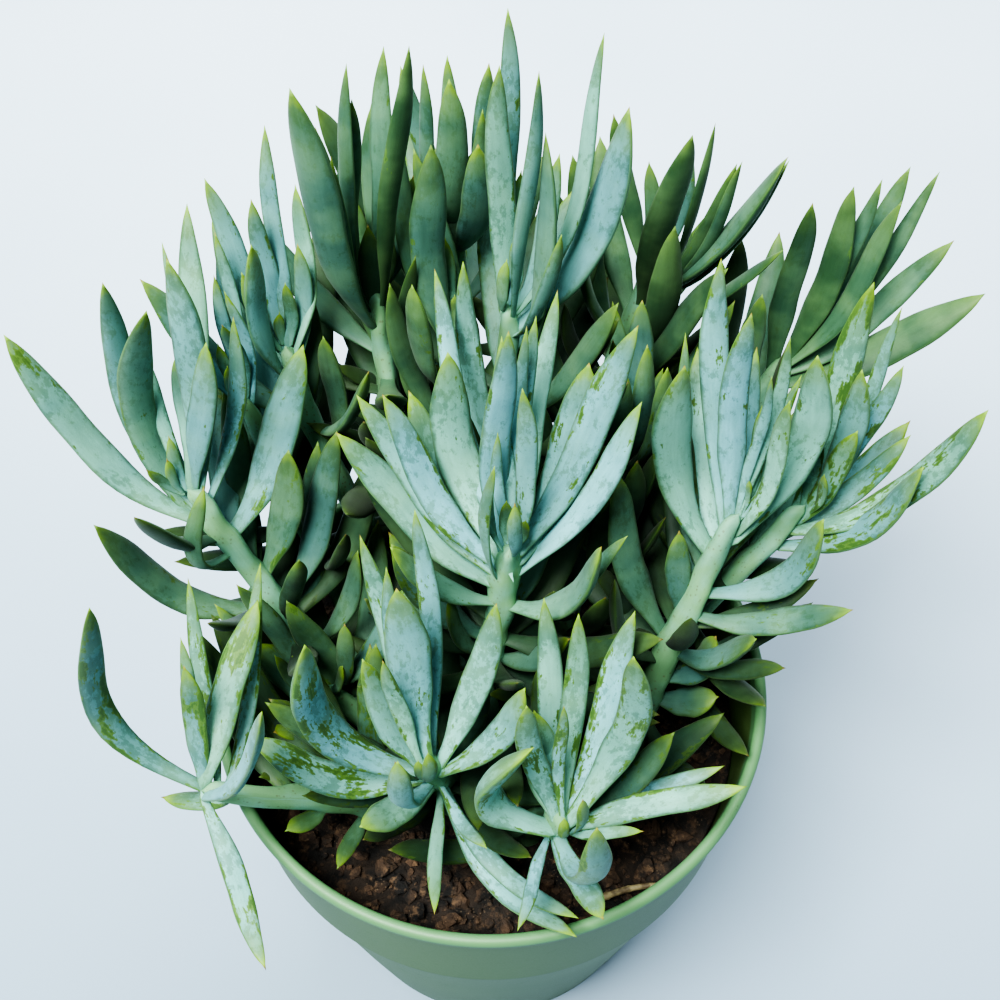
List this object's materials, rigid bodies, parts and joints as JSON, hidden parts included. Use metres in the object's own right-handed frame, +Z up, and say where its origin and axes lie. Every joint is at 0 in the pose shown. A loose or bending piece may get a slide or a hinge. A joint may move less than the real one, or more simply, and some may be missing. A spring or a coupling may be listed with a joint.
{
  "type": "potted chalk sticks succulent",
  "caption": "Clump of thick, pointed blue-green chalk stick leaves on pale fleshy stems, in a round green plastic pot of dark soil.",
  "frame": {"origin": "centre of the pot's flat underside, on the surface that the pot stands on", "axes": "+Z up along the pot's axis; -Y towards the side that the plant is seen from; +X to that viewer's right"},
  "size_m": [0.2818, 0.2485, 0.3463],
  "materials": {
    "pot_plastic": "satin sage green plastic",
    "soil": "rough dark brown potting soil",
    "leaf": "waxy pale blue-green leaf skin with a powdery bloom"
  },
  "bodies": {
    "root": {"pot": "pot_plastic", "soil": "soil", "stem_centre": "leaf", "stem_front_left": "leaf", "stem_front_right": "leaf", "stem_right": "leaf", "stem_left": "leaf", "stem_low_left": "leaf", "stem_back_left": "leaf", "stem_back": "leaf", "stem_far_right": "leaf", "stem_back_right": "leaf", "stem_outer_right": "leaf", "stem_back_centre": "leaf", "stem_far_left": "leaf", "stem_left_back": "leaf", "stem_far_back": "leaf", "stem_inner_right": "leaf", "stem_inner_left": "leaf"}
  },
  "joints": []
}
